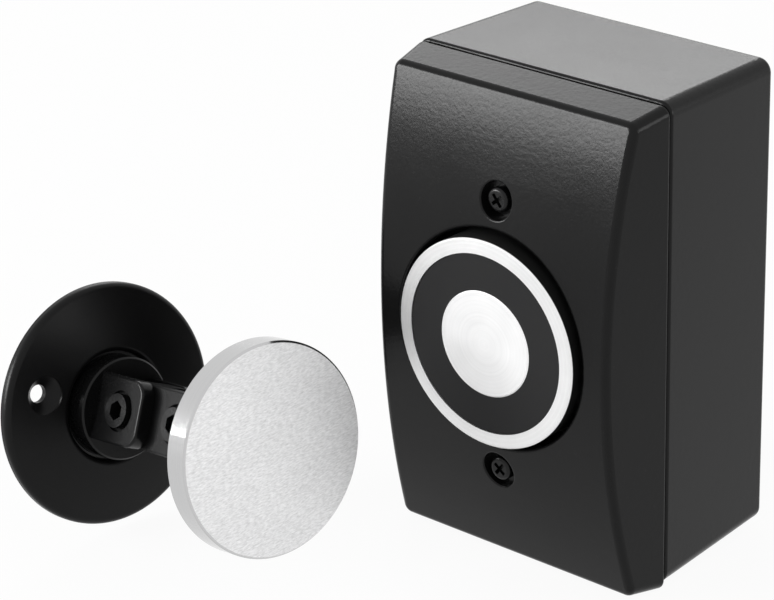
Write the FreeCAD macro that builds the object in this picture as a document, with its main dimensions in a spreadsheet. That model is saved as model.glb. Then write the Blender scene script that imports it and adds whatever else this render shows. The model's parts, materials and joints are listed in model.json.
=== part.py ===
import FreeCAD, Part
import math
import os
import types

import Sketcher

# Electromagnetic door holder in two halves, in millimetres.
# The wall unit is a box with an arched cover, an electromagnet and what carries it.
# The door unit is a flange with a swivelling base, a hinged arm and a steel catch plate.
# Frame: origin at the middle of the box's rear face, X to the right, Y into the wall, Z up.
# The door unit is drawn about its own axis, local Z, outwards from the door's face, and then placed.

DOC = FreeCAD.newDocument("DoorHolder")

# Driving dimensions: name, value and what the value is
DIMENSIONS = [
    ("box_width", 70.0, "width of box and cover at the seam"),
    ("box_height", 114.3, "height of the box at the seam"),
    ("box_depth", 38.3, "depth of the box from the wall to the seam"),
    ("box_draft_side", 1.25, "how far each side leans in towards the wall"),
    ("box_draft_end", 1.05, "how far top and bottom lean in towards the wall"),
    ("box_wall", 3.0, "wall of the box"),
    ("box_corner_radius", 3.2, "rounding of the long corner edges of the box"),
    ("box_back_radius", 1.5, "rounding round the rear face"),
    ("seam_radius", 0.7, "rounding of both rims at the seam"),
    ("wire_entry_diameter", 22.2, "hole for the supply wires in the rear wall"),
    ("wire_entry_height", 17.0, "height of the wire entry above the middle"),
    ("wall_hole_diameter", 5.2, "holes for the wall screws"),
    ("wall_hole_across", 46.0, "spacing of the wall screws across"),
    ("wall_hole_along", 92.0, "spacing of the wall screws up and down"),
    ("post_diameter", 9.0, "posts that carry the strap"),
    ("post_pilot_depth", 12.0, "depth of the tapped holes in the posts"),
    ("cover_extra", 0.5, "how much taller than the box the cover is at the seam"),
    ("cover_crown_depth", 56.65, "distance from the wall to the crown of the arch"),
    ("cover_arch_radius", 193.0, "radius of the arched front"),
    ("arch_cut", 1.35, "depth in front of the crown that the arch cuts away"),
    ("cover_inset_side", 3.0, "taper of each side from the seam to that depth"),
    ("cover_inset_end", 3.2, "taper of top and bottom from the seam to that depth"),
    ("cover_wall", 2.6, "wall of the cover"),
    ("cover_corner_radius", 2.4, "rounding of the cover's corner edges"),
    ("cover_edge_radius", 1.8, "rounding round the arched front"),
    ("opening_gap", 1.2, "gap between the magnet and the cover's opening"),
    ("opening_lip_radius", 0.8, "rounding of the opening's lip"),
    ("well_web", 2.45, "web between the opening and a cover screw's well"),
    ("well_diameter", 8.5, "wells of the cover screws"),
    ("well_depth", 5.4, "depth of a well's floor behind the crown"),
    ("well_lip_radius", 0.4, "rounding of a well's lip"),
    ("well_boss_diameter", 12.6, "bosses behind the wells"),
    ("well_boss_height", 3.2, "thickness of a boss behind the well's floor"),
    ("cover_screw_diameter", 3.0, "thread of the cover screws"),
    ("cover_screw_head", 5.7, "head diameter of the cover screws"),
    ("cover_screw_head_height", 2.3, "head height of the cover screws"),
    ("cover_screw_head_round", 0.9, "rounding of a cover screw's head"),
    ("cross_length", 3.4, "length of the cross recess in a cover screw"),
    ("cross_width", 0.85, "width of the cross recess"),
    ("cross_depth", 1.3, "depth of the cross recess"),
    ("cross_turn", 38.0, "turn of the cross recess, in degrees"),
    ("screw_end_length", 2.0, "how far screws stand out behind the strap"),
    ("strap_drop", 0.8, "how far strap, magnet and cover hang below the box's middle"),
    ("strap_seat_depth", 30.0, "distance from the wall to the strap"),
    ("strap_thickness", 2.5, "thickness of the strap"),
    ("strap_width", 26.0, "width of the strap"),
    ("strap_end", 5.8, "distance from a strap screw to the strap's end"),
    ("strap_screw_spacing", 83.4, "spacing of the screws that hold the strap"),
    ("strap_screw_diameter", 4.0, "thread of the strap screws"),
    ("strap_screw_head", 7.0, "head diameter of the strap screws"),
    ("strap_screw_head_height", 2.6, "head height of the strap screws"),
    ("strap_screw_reach", 10.0, "length of a strap screw in its post"),
    ("driver_slot_width", 1.0, "width of a driver slot"),
    ("driver_slot_depth", 1.2, "depth of a driver slot"),
    ("magnet_proud", 1.75, "how far the magnet stands out in front of the crown"),
    ("cup_diameter", 48.8, "outer diameter of the magnet's cup"),
    ("cup_bore", 42.0, "bore of the cup"),
    ("cup_floor", 5.0, "floor of the cup"),
    ("cup_chamfer", 0.4, "chamfer of the cup's front edge"),
    ("core_diameter", 24.7, "diameter of the magnet's core"),
    ("core_chamfer", 0.3, "chamfer of the core's front edge"),
    ("core_screw_diameter", 8.0, "thread of the core screw"),
    ("core_screw_reach", 12.0, "length of the core screw in the core"),
    ("core_screw_flats", 13.0, "width across flats of the core screw's head"),
    ("core_screw_head_height", 5.3, "height of the core screw's head"),
    ("thread_room", 2.0, "spare depth of a blind hole past its screw"),
    ("bobbin_wall", 1.1, "wall of the coil's bobbin"),
    ("bobbin_gap", 0.1, "gap between the bobbin and the steel round it"),
    ("winding_room", 0.85, "gap between the winding and the cup's bore"),
    ("potting_depth", 2.2, "thickness of the resin ring"),
    ("potting_recess", 0.3, "how far the resin lies below the magnet's face"),
    ("close_fit", 0.05, "radial clearance of screws, pins and fitted pieces"),
    ("hole_clearance", 0.25, "radial clearance of plain screw holes"),
    ("lead_diameter", 1.6, "diameter of a coil lead"),
    ("lead_pitch", 5.0, "spacing of the two leads and of the terminals"),
    ("lead_offset", 16.6, "distance of the leads below the magnet's axis"),
    ("lead_bend_radius", 5.0, "bend of a lead behind the strap"),
    ("lead_bite", 3.5, "length of a lead inside the terminal block"),
    ("bushing_wall", 0.8, "wall of the lead bushing"),
    ("bushing_rim", 1.4, "how far the bushing's rim stands out"),
    ("block_width", 17.0, "width of the terminal block"),
    ("block_depth", 13.0, "depth of the terminal block"),
    ("block_height", 12.0, "height of the terminal block"),
    ("block_drop", 24.0, "distance of the block's top below the middle"),
    ("block_wire_depth", 6.5, "distance of the wire holes from the block's rear"),
    ("terminal_screw_diameter", 3.0, "diameter of a terminal screw"),
    ("terminal_screw_length", 4.2, "length of a terminal screw"),
    ("terminal_screw_sink", 0.6, "how far a terminal screw lies below the block's face"),
    ("door_x", -87.1, "place of the door unit beside the wall unit"),
    ("door_y", -91.5, "place of the door unit in front of the wall"),
    ("door_z", -28.7, "place of the door unit below the middle"),
    ("door_turn", -7.8, "turn of the door unit's axis from X, in degrees"),
    ("door_tilt", 9.6, "tilt of the door unit's axis above level, in degrees"),
    ("door_spin", -114.1, "turn of the door unit about its own axis, in degrees"),
    ("flange_diameter", 56.5, "diameter of the door flange"),
    ("flange_rim_height", 2.3, "height of the flange's rim"),
    ("flange_crown_height", 4.9, "height of the flange at its opening"),
    ("flange_rim_radius", 1.6, "rounding of the flange's rim"),
    ("swivel_gap", 0.7, "gap between the base and the flange's opening"),
    ("flange_lip_radius", 1.2, "rounding of the flange's opening"),
    ("flange_hole_spacing", 39.2, "spacing of the flange's two screw holes"),
    ("flange_hole_diameter", 4.2, "screw holes of the flange"),
    ("countersink_diameter", 9.0, "countersinks of the flange"),
    ("countersink_depth", 2.6, "depth of a countersink"),
    ("countersink_face", 4.0, "height of the dome at a screw hole"),
    ("shoulder_diameter", 30.4, "shoulder of the base behind the flange"),
    ("shoulder_thickness", 1.1, "thickness of the shoulder"),
    ("swivel_play", 0.1, "axial play of the base in the flange"),
    ("washer_thickness", 0.5, "thickness of the friction washer"),
    ("washer_inset", 0.3, "how far the friction washer ends inside the shoulder"),
    ("ring_thickness", 0.8, "thickness of the retaining ring"),
    ("ring_bite", 0.6, "how far the retaining ring reaches into the flange"),
    ("ring_hold", 2.0, "how far the ring reaches under the shoulder"),
    ("ring_sweep", 325.0, "angle that the split ring covers, in degrees"),
    ("ring_lift", 0.3, "height of the ring's groove above the door"),
    ("base_rim", 0.5, "how far the swivel base reaches past the corners of its lugs"),
    ("base_face_height", 8.9, "height of the base's face above the door"),
    ("base_edge_chamfer", 0.4, "chamfer of the base's edge"),
    ("lug_thickness", 3.4, "thickness of a hinge lug"),
    ("lug_height", 15.5, "width of a hinge lug across the hinge"),
    ("lug_reach", 7.75, "distance from the hinge to the end of a lug"),
    ("lug_corner_radius", 4.0, "rounding of a lug's corners"),
    ("lug_edge_radius", 0.6, "rounding of the lugs and of the arm"),
    ("arm_thickness", 10.0, "thickness of the arm"),
    ("arm_height", 15.1, "width of the arm across the hinge"),
    ("pivot_one_height", 17.8, "height of the first hinge above the door"),
    ("pivot_spacing", 16.7, "distance between the two hinges"),
    ("pivot_diameter", 6.0, "shank of the hinge screws"),
    ("pivot_head_diameter", 7.8, "head of the hinge screws"),
    ("pivot_head_height", 2.0, "head height of the hinge screws"),
    ("pivot_head_sink", 1.0, "how far a head is let into its counterbore"),
    ("pivot_sink_gap", 0.8, "radial gap round a head in its counterbore"),
    ("pivot_end_gap", 0.3, "how far a hinge screw ends below the far face"),
    ("hex_flats", 4.0, "hex socket of the hinge screws"),
    ("hex_depth", 2.8, "depth of the hex socket"),
    ("tongue_thickness", 4.0, "thickness of the plate's tongue"),
    ("tongue_height", 14.4, "width of the plate's tongue"),
    ("fork_room", 0.8, "gap between the tongue's end and the fork"),
    ("collar_diameter", 22.0, "collar behind the plate"),
    ("collar_thickness", 6.0, "thickness of the collar"),
    ("collar_chamfer", 1.0, "chamfer of the collar"),
    ("stud_diameter", 8.0, "stud in the plate"),
    ("stud_length", 4.0, "length of the stud"),
    ("plate_diameter", 48.0, "diameter of the catch plate"),
    ("plate_thickness", 6.35, "thickness of the catch plate"),
    ("plate_back_height", 57.7, "height of the plate's rear face above the door"),
    ("plate_front_chamfer", 0.5, "chamfer of the plate's front edge"),
    ("plate_rear_chamfer", 0.4, "chamfer of the plate's rear edge"),
]


class Size:
    """A number together with the sheet expression that gives it."""

    def __init__(self, value, text):
        self.value = value
        self.text = text

    @staticmethod
    def of(item):
        return item if isinstance(item, Size) else Size(float(item), repr(float(item)))

    def __add__(self, other):
        other = Size.of(other)
        return Size(self.value + other.value, f"({self.text} + {other.text})")

    def __sub__(self, other):
        other = Size.of(other)
        return Size(self.value - other.value, f"({self.text} - {other.text})")

    def __mul__(self, other):
        other = Size.of(other)
        return Size(self.value * other.value, f"({self.text} * {other.text})")

    def __truediv__(self, other):
        other = Size.of(other)
        return Size(self.value / other.value, f"({self.text} / {other.text})")

    def __neg__(self):
        return Size(-self.value, f"(-1 * {self.text})")


def diagonal(across, up):
    """Length of the diagonal of a rectangle with two given sides."""
    return Size(math.hypot(across.value, up.value), f"hypot({across.text}; {up.text})")


def make_sheet():
    """The spreadsheet that holds every driving dimension."""
    sheet = DOC.addObject("Spreadsheet::Sheet", "Sizes")
    for row, (alias, value, note) in enumerate(DIMENSIONS, start=1):
        sheet.set(f"A{row}", note)
        sheet.set(f"B{row}", str(value))
        sheet.setAlias(f"B{row}", alias)
    DOC.recompute()
    named = {alias: Size(value, f"Sizes.{alias}") for alias, value, note in DIMENSIONS}
    return types.SimpleNamespace(**named)


size = make_sheet()
PIECES = []


# Sketches


def new_body(label):
    body = DOC.addObject("PartDesign::Body", label)
    body.Label = label
    return body


def sketch_on(body, role, name, shift=None):
    """Sketch on one of the body's own planes, moved by up to three sizes along the plane's axes."""
    sketch = body.newObject("Sketcher::SketchObject", f"{body.Name}_{name}")
    plane = next(item for item in body.Origin.OriginFeatures if item.Role == role)
    sketch.AttachmentSupport = [(plane, "")]
    sketch.MapMode = "FlatFace"
    for axis, amount in (shift or {}).items():
        sketch.setExpression(f"AttachmentOffset.Base.{axis}", amount.text)
    return sketch


def tie(sketch, kind, first, value):
    """Add a dimension that follows the sheet."""
    value = Size.of(value)
    index = sketch.addConstraint(Sketcher.Constraint(kind, *first, value.value))
    name = f"d{index}"
    sketch.renameConstraint(index, name)
    sketch.setExpression(f"Constraints.{name}", value.text)


def tie_point(sketch, geometry, end, across, up):
    """Fix a point of the sketch at two sizes from the sketch's origin."""
    for kind, axis, value in (("DistanceX", -2, across), ("DistanceY", -1, up)):
        if Size.of(value).value == 0.0:
            sketch.addConstraint(Sketcher.Constraint("PointOnObject", geometry, end, axis))
        else:
            tie(sketch, kind, (-1, 1, geometry, end), value)


def arc_round_axis(start, stop):
    """Arc from start to stop round a point on the sketch's upright axis."""
    squares = start.x ** 2 + start.y ** 2 - stop.x ** 2 - stop.y ** 2
    centre = FreeCAD.Vector(0, squares / (start.y - stop.y) / 2, 0)
    circle = Part.Circle(centre, FreeCAD.Vector(0, 0, 1), (start - centre).Length)
    return Part.ArcOfCircle(circle, circle.parameter(start), circle.parameter(stop))


DOMED = "domed"


def outline(sketch, corners):
    """Closed outline through the corners; a corner marked DOMED starts an arc round the upright axis."""
    first = sketch.GeometryCount
    count = len(corners)
    places = [FreeCAD.Vector(Size.of(item[0]).value, Size.of(item[1]).value, 0) for item in corners]
    for k, item in enumerate(corners):
        start, stop = places[k], places[(k + 1) % count]
        if DOMED in item:
            sketch.addGeometry(arc_round_axis(start, stop), False)
        else:
            sketch.addGeometry(Part.LineSegment(start, stop), False)
    for k in range(count):
        sketch.addConstraint(Sketcher.Constraint("Coincident", first + k, 2, first + (k + 1) % count, 1))
    for k, item in enumerate(corners):
        tie_point(sketch, first + k, 1, item[0], item[1])
        if DOMED in item:
            sketch.addConstraint(Sketcher.Constraint("PointOnObject", first + k, 3, -2))


def rectangle(sketch, width, height, across=0, up=0):
    """Rectangle round the point (across, up)."""
    left, right = Size.of(across) - width / 2, Size.of(across) + width / 2
    low, high = Size.of(up) - height / 2, Size.of(up) + height / 2
    outline(sketch, [(left, low), (right, low), (right, high), (left, high)])


def circle(sketch, diameter, across=0, up=0):
    """Circle round the point (across, up)."""
    radius = diameter / 2
    centre = FreeCAD.Vector(Size.of(across).value, Size.of(up).value, 0)
    index = sketch.addGeometry(Part.Circle(centre, FreeCAD.Vector(0, 0, 1), radius.value), False)
    tie_point(sketch, index, 3, across, up)
    tie(sketch, "Radius", (index,), radius)


def hexagon(sketch, flats):
    """Hexagon round the sketch's origin, by its width across flats."""
    corner = flats / math.sqrt(3.0)
    half = corner / 2
    side = flats / 2
    outline(sketch, [(corner, 0), (half, side), (-half, side), (-corner, 0), (-half, -side), (half, -side)])


def cross(sketch, length, width):
    """Cross of two slots round the sketch's origin."""
    far, near = length / 2, width / 2
    quarter = [(far, -near), (far, near), (near, near), (near, far), (-near, far), (-near, near)]
    outline(sketch, quarter + [(-across, -up) for across, up in quarter])


# Features


def feature(body, kind, name, sketch):
    item = body.newObject(f"PartDesign::{kind}", f"{body.Name}_{name}")
    item.Profile = sketch
    return item


def extrude(body, kind, name, sketch, length=None, symmetric=False, flip=False):
    """Pad or Pocket; without a length a Pocket goes right through."""
    item = feature(body, kind, name, sketch)
    item.Reversed = flip
    if symmetric:
        item.SideType = "Symmetric"
    if length is None:
        item.Type = "ThroughAll"
    else:
        item.setExpression("Length", length.text)
    return item


def pad(body, name, sketch, length, **options):
    return extrude(body, "Pad", name, sketch, length, **options)


def cut(body, name, sketch, length=None, **options):
    """Pocket that has to take material away."""
    DOC.recompute()
    before = body.Tip.Shape.Volume
    item = extrude(body, "Pocket", name, sketch, length, **options)
    DOC.recompute()
    if item.Shape.Volume >= before:
        raise RuntimeError(f"{item.Name} cuts nothing")
    return item


def spin(body, kind, name, sketch, axis="V_Axis", angle=None):
    """Revolution or Groove round an axis of the sketch."""
    item = feature(body, kind, name, sketch)
    item.ReferenceAxis = (sketch, [axis])
    if angle is None:
        item.Angle = 360
    else:
        item.setExpression("Angle", angle.text)
    return item


def turned(label, role, corners, axis="V_Axis", shift=None, angle=None):
    """Body turned from a section."""
    body = new_body(label)
    sketch = sketch_on(body, role, "section", shift)
    outline(sketch, corners)
    spin(body, "Revolution", "turning", sketch, axis, angle)
    return body


def mirror(body, name, originals, role):
    """Repeat features on the other side of one of the body's planes."""
    DOC.recompute()
    item = body.newObject("PartDesign::Mirrored", f"{body.Name}_{name}")
    plane = next(part for part in body.Origin.OriginFeatures if part.Role == role)
    item.Originals = originals
    item.MirrorPlane = (plane, [""])
    body.Tip = item
    return item


def loft(body, name, first, last):
    item = feature(body, "AdditiveLoft", name, first)
    item.Sections = [last]
    item.Ruled = True
    return item


def hollow(body, name, open_face, wall):
    """Shell the body inwards and leave one face open."""
    DOC.recompute()
    base = body.Tip
    faces = [f"Face{k}" for k, face in enumerate(base.Shape.Faces, start=1) if open_face(face)]
    item = body.newObject("PartDesign::Thickness", f"{body.Name}_{name}")
    item.Base = (base, faces)
    item.setExpression("Value", wall.text)
    item.Join = "Intersection"
    item.Reversed = True
    return item


def round_edges(body, name, wanted, radius):
    """Round the edges of the body that the test picks out."""
    DOC.recompute()
    base = body.Tip
    edges = [f"Edge{k}" for k, edge in enumerate(base.Shape.Edges, start=1) if wanted(edge)]
    if not edges:
        raise RuntimeError(f"{body.Name}: no edge for {name}")
    item = body.newObject("PartDesign::Fillet", f"{body.Name}_{name}")
    item.Base = (base, edges)
    item.setExpression("Radius", radius.text)
    return item


def near(first, second):
    return abs(first - second) < 1e-3


def at_depth(edge, depth):
    """True for an edge that lies in the plane at this distance in front of the wall."""
    box = edge.BoundBox
    return near(box.YMin, -depth.value) and near(box.YMax, -depth.value)


def is_round(edge, radius):
    return isinstance(edge.Curve, Part.Circle) and near(edge.Curve.Radius, radius.value)


def keep(piece, placement=None):
    """Give a finished piece its place and put it on the list."""
    DOC.recompute()
    if placement is not None:
        piece.Placement = placement
    PIECES.append(piece)


def hang(piece):
    """Keep a piece that hangs a little below the box's middle."""
    piece.setExpression("Placement.Base.z", (-size.strap_drop).text)
    keep(piece)


# Wall unit: derived places, as distances in front of the wall

cover_front = size.cover_crown_depth + size.arch_cut
magnet_face = size.cover_crown_depth + size.magnet_proud
well_floor = size.cover_crown_depth - size.well_depth
strap_front = size.strap_seat_depth + size.strap_thickness
cup_floor_front = strap_front + size.cup_floor
potting_back = magnet_face - size.potting_recess - size.potting_depth
boss_back = well_floor - size.well_boss_height
magnet_opening = size.cup_diameter + size.opening_gap * 2
cover_screw_up = magnet_opening / 2 + size.well_web + size.well_diameter / 2
cover_height = size.box_height + size.cover_extra
strap_screw_up = size.strap_screw_spacing / 2
block_front = size.box_wall + size.block_depth
wire_depth = size.box_wall + size.block_wire_depth
lead_hole = size.lead_pitch + size.lead_diameter + size.bushing_wall * 2 + size.close_fit * 4


def spans_depth(edge, depth):
    """True for an edge that runs the whole depth."""
    return near(edge.BoundBox.YLength, depth.value)


def outer_rim(edge, height):
    """True for an edge at the seam on the outer outline of this height."""
    if not at_depth(edge, size.box_depth):
        return False
    box = edge.BoundBox
    side = max(abs(box.XMin), abs(box.XMax))
    end = max(abs(box.ZMin), abs(box.ZMax))
    return near(side, size.box_width.value / 2) or near(end, height.value / 2)


def make_back_box():
    """Drafted box, open to the front, with two strap posts and holes in the rear wall."""
    body = new_body("back_box")
    rear = sketch_on(body, "XZ_Plane", "rear")
    rectangle(rear, size.box_width - size.box_draft_side * 2, size.box_height - size.box_draft_end * 2)
    front = sketch_on(body, "XZ_Plane", "front", {"z": size.box_depth})
    rectangle(front, size.box_width, size.box_height)
    loft(body, "block", rear, front)
    hollow(body, "hollow", lambda face: near(face.CenterOfMass.y, -size.box_depth.value), size.box_wall)
    round_edges(body, "corners", lambda edge: spans_depth(edge, size.box_depth), size.box_corner_radius)
    round_edges(body, "rear_round", lambda edge: at_depth(edge, Size.of(0)), size.box_back_radius)
    round_edges(body, "seam_round", lambda edge: outer_rim(edge, size.box_height), size.seam_radius)
    posts = sketch_on(body, "XZ_Plane", "posts", {"z": size.box_wall / 2})
    pilots = sketch_on(body, "XZ_Plane", "pilots", {"z": size.strap_seat_depth})
    for up in (strap_screw_up, -strap_screw_up):
        circle(posts, size.post_diameter, 0, up - size.strap_drop)
        circle(pilots, size.strap_screw_diameter + size.close_fit * 2, 0, up - size.strap_drop)
    pad(body, "post_pad", posts, size.strap_seat_depth - size.box_wall / 2)
    cut(body, "pilot_holes", pilots, size.post_pilot_depth)
    holes = sketch_on(body, "XZ_Plane", "holes")
    circle(holes, size.wire_entry_diameter, 0, size.wire_entry_height)
    for across in (-size.wall_hole_across / 2, size.wall_hole_across / 2):
        for up in (-size.wall_hole_along / 2, size.wall_hole_along / 2):
            circle(holes, size.wall_hole_diameter, across, up)
    cut(body, "rear_holes", holes, size.box_wall * 4, symmetric=True)
    keep(body)


def front_trim(body, name):
    """Cut away what stands in front of the arch."""
    sketch = sketch_on(body, "YZ_Plane", f"{name}_sketch")
    middle = size.cover_arch_radius - size.cover_crown_depth
    circle(sketch, size.cover_arch_radius * 2, middle)
    circle(sketch, (size.cover_arch_radius + size.box_height) * 2, middle)
    cut(body, name, sketch, symmetric=True)


def on_arch(edge):
    """True for an edge of which every point lies on the arched front."""
    middle = size.cover_arch_radius.value - size.cover_crown_depth.value
    points = edge.discretize(5)
    return all(near(math.hypot(p.y - middle, p.z), size.cover_arch_radius.value) for p in points)


def make_front_cover():
    """Arched cover with tapered sides, a magnet opening and two screw wells."""
    body = new_body("front_cover")
    seam = sketch_on(body, "XZ_Plane", "seam", {"z": size.box_depth})
    rectangle(seam, size.box_width, cover_height)
    front = sketch_on(body, "XZ_Plane", "front", {"z": cover_front})
    rectangle(front, size.box_width - size.cover_inset_side * 2, cover_height - size.cover_inset_end * 2)
    loft(body, "block", seam, front)
    front_trim(body, "arch")
    hollow(body, "hollow", lambda face: near(face.CenterOfMass.y, -size.box_depth.value), size.cover_wall)
    bosses = sketch_on(body, "XZ_Plane", "bosses", {"z": boss_back})
    wells = sketch_on(body, "XZ_Plane", "wells", {"z": well_floor})
    holes = sketch_on(body, "XZ_Plane", "holes", {"z": well_floor})
    for up in (cover_screw_up, -cover_screw_up):
        circle(bosses, size.well_boss_diameter, 0, up)
        circle(wells, size.well_diameter, 0, up)
        circle(holes, size.cover_screw_diameter + size.hole_clearance * 2, 0, up)
    pad(body, "boss_pad", bosses, size.cover_crown_depth - boss_back)
    front_trim(body, "boss_arch")
    round_edges(body, "corners", is_cover_corner, size.cover_corner_radius)
    round_edges(body, "front_round", on_arch, size.cover_edge_radius)
    round_edges(body, "seam_round", lambda edge: outer_rim(edge, cover_height), size.seam_radius)
    cut(body, "well_cut", wells, flip=True)
    cut(body, "screw_holes", holes)
    opening = sketch_on(body, "XZ_Plane", "opening")
    circle(opening, magnet_opening)
    cut(body, "magnet_opening", opening, flip=True)
    lips = ((magnet_opening, size.opening_lip_radius, "opening_lip"),
            (size.well_diameter, size.well_lip_radius, "well_lips"))
    for diameter, radius, name in lips:
        round_edges(body, name, lambda edge, d=diameter: on_arch(edge) and on_hole(edge, d), radius)
    hang(body)


def is_cover_corner(edge):
    """True for one of the four outer edges that run from the seam to the arch."""
    box = edge.BoundBox
    return near(box.YMax, -size.box_depth.value) and near(box.XMax if box.XMax > 0 else -box.XMin,
                                                          size.box_width.value / 2) and box.YLength > 1.0


def on_hole(edge, diameter):
    """True for an edge round a hole of this diameter along Y, at the magnet or at a cover screw."""
    ups = (0.0, cover_screw_up.value, -cover_screw_up.value)
    points = edge.discretize(5)
    return any(all(near(math.hypot(p.x, p.z - up), diameter.value / 2) for p in points) for up in ups)


def screw_pair(label, head_base, head, head_height, shank, tip, up, recess):
    """Two screws along Y, one above and one below the middle, with a recess in each head."""
    top = head_base + head_height
    corners = [(0, -tip), (shank / 2, -tip), (shank / 2, -head_base),
               (head / 2, -head_base), (head / 2, -top), (0, -top)]
    body = turned(label, "XY_Plane", corners, shift={"z": up})
    first = body.Tip
    face = sketch_on(body, "XZ_Plane", "recess", {"y": up, "z": top})
    depth = recess(face)
    drive = cut(body, "drive", face, depth)
    mirror(body, "pair", [first, drive], "XY_Plane")
    return body


def cross_recess(sketch):
    sketch.setExpression("AttachmentOffset.Rotation.Angle", size.cross_turn.text)
    cross(sketch, size.cross_length, size.cross_width)
    return size.cross_depth


def slot_recess(sketch):
    rectangle(sketch, size.strap_screw_head * 2, size.driver_slot_width)
    return size.driver_slot_depth


def make_screws():
    """Cover screws with rounded heads, and strap screws."""
    shank = size.cover_screw_diameter
    tip = size.strap_seat_depth - size.screw_end_length
    body = screw_pair("cover_screws", well_floor, size.cover_screw_head, size.cover_screw_head_height,
                      shank, tip, cover_screw_up, cross_recess)
    top = well_floor + size.cover_screw_head_height
    radius = size.cover_screw_head / 2
    round_edges(body, "head_round", lambda edge: at_depth(edge, top) and is_round(edge, radius),
                size.cover_screw_head_round)
    hang(body)
    tip = size.strap_seat_depth - size.strap_screw_reach
    body = screw_pair("strap_screws", strap_front, size.strap_screw_head, size.strap_screw_head_height,
                      size.strap_screw_diameter, tip, strap_screw_up, slot_recess)
    hang(body)


def make_mounting_strap():
    """Flat steel strap with holes for its screws, the cover screws, the core screw and the leads."""
    body = new_body("mounting_strap")
    sketch = sketch_on(body, "XZ_Plane", "outline", {"z": size.strap_seat_depth})
    rectangle(sketch, size.strap_width, size.strap_screw_spacing + size.strap_end * 2)
    for up in (strap_screw_up, -strap_screw_up):
        circle(sketch, size.strap_screw_diameter + size.hole_clearance * 2, 0, up)
    for up in (cover_screw_up, -cover_screw_up):
        circle(sketch, size.cover_screw_diameter + size.close_fit * 2, 0, up)
    circle(sketch, size.core_screw_diameter + size.hole_clearance * 2)
    circle(sketch, lead_hole, 0, -size.lead_offset)
    pad(body, "plate", sketch, size.strap_thickness)
    hang(body)


def make_magnet():
    """Cup, core, bobbin, winding and resin, all turned about the Y axis."""
    face = magnet_face
    cup, bore, core = size.cup_diameter / 2, size.cup_bore / 2, size.core_diameter / 2
    screw_hole = size.core_screw_diameter / 2 + size.hole_clearance
    edge = size.cup_chamfer
    body = turned("magnet_cup", "XY_Plane", [
        (screw_hole, -strap_front), (cup, -strap_front), (cup, edge - face), (cup - edge, -face),
        (bore, -face), (bore, -cup_floor_front), (screw_hole, -cup_floor_front)])
    leads = sketch_on(body, "XZ_Plane", "lead_hole", {"z": strap_front + size.cup_floor * 2})
    circle(leads, lead_hole, 0, -size.lead_offset)
    cut(body, "lead_cut", leads)
    hang(body)

    edge = size.core_chamfer
    tapped = size.core_screw_diameter / 2 + size.close_fit
    blind = cup_floor_front + size.core_screw_reach + size.thread_room
    body = turned("pole_core", "XY_Plane", [
        (tapped, -cup_floor_front), (core, -cup_floor_front), (core, edge - face), (core - edge, -face),
        (0, -face), (0, -blind), (tapped, -blind)])
    hang(body)

    tube = core + size.bobbin_gap
    wound = tube + size.bobbin_wall
    rim = bore - size.bobbin_gap
    rear, front = cup_floor_front + size.bobbin_wall, potting_back - size.bobbin_wall
    body = turned("coil_bobbin", "XY_Plane", [
        (tube, -cup_floor_front), (rim, -cup_floor_front), (rim, -rear), (wound, -rear),
        (wound, -front), (rim, -front), (rim, -potting_back), (tube, -potting_back)])
    hang(body)

    outside = bore - size.winding_room
    body = turned("coil_winding", "XY_Plane", [
        (wound, -rear), (outside, -rear), (outside, -front), (wound, -front)])
    hang(body)

    resin = face - size.potting_recess
    inner, outer = core + size.close_fit, bore - size.close_fit
    body = turned("potting_ring", "XY_Plane", [
        (inner, -potting_back), (outer, -potting_back), (outer, -resin), (inner, -resin)])
    hang(body)


def make_core_screw():
    """Hex screw behind the strap that pulls the core and the cup against it."""
    shank = size.core_screw_diameter / 2
    tip = cup_floor_front + size.core_screw_reach
    start = size.strap_seat_depth
    body = turned("core_screw", "XY_Plane", [(0, -start), (shank, -start), (shank, -tip), (0, -tip)])
    head = sketch_on(body, "XZ_Plane", "head", {"z": start - size.core_screw_head_height})
    hexagon(head, size.core_screw_flats)
    pad(body, "head_pad", head, size.core_screw_head_height)
    hang(body)


def make_lead_bushing():
    """Sleeve in the holes of cup and strap, with a rim behind the strap."""
    outer = lead_hole / 2 - size.close_fit
    inner = outer - size.bushing_wall
    rim = outer + size.bushing_rim
    back = size.strap_seat_depth - size.bushing_wall
    body = turned("lead_bushing", "XY_Plane", [
        (inner, -back), (rim, -back), (rim, -size.strap_seat_depth), (outer, -size.strap_seat_depth),
        (outer, -cup_floor_front), (inner, -cup_floor_front)], shift={"z": -size.lead_offset})
    hang(body)


def make_coil_leads():
    """Two leads that run back from the coil, bend down and end in the terminal block."""
    body = new_body("coil_leads")
    end = size.block_drop + size.lead_bite
    bend_up = size.lead_offset + size.lead_bend_radius
    bend_depth = wire_depth + size.lead_bend_radius
    across = size.lead_pitch / 2
    ring = sketch_on(body, "XZ_Plane", "ring", {"x": across, "y": -size.lead_offset, "z": bend_depth})
    circle(ring, size.lead_diameter)
    run = pad(body, "run", ring, cup_floor_front - bend_depth)
    bend = sketch_on(body, "XZ_Plane", "bend_ring", {"x": across, "y": -bend_up, "z": bend_depth})
    circle(bend, size.lead_diameter, 0, size.lead_bend_radius)
    turn = spin(body, "Revolution", "bend", bend, "H_Axis")
    turn.Angle = 90
    turn.Reversed = True
    drop = sketch_on(body, "XY_Plane", "drop_ring", {"x": across, "y": -wire_depth, "z": -end})
    circle(drop, size.lead_diameter)
    fall = pad(body, "drop", drop, end - bend_up)
    mirror(body, "pair", [run, turn, fall], "YZ_Plane")
    hang(body)


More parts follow.
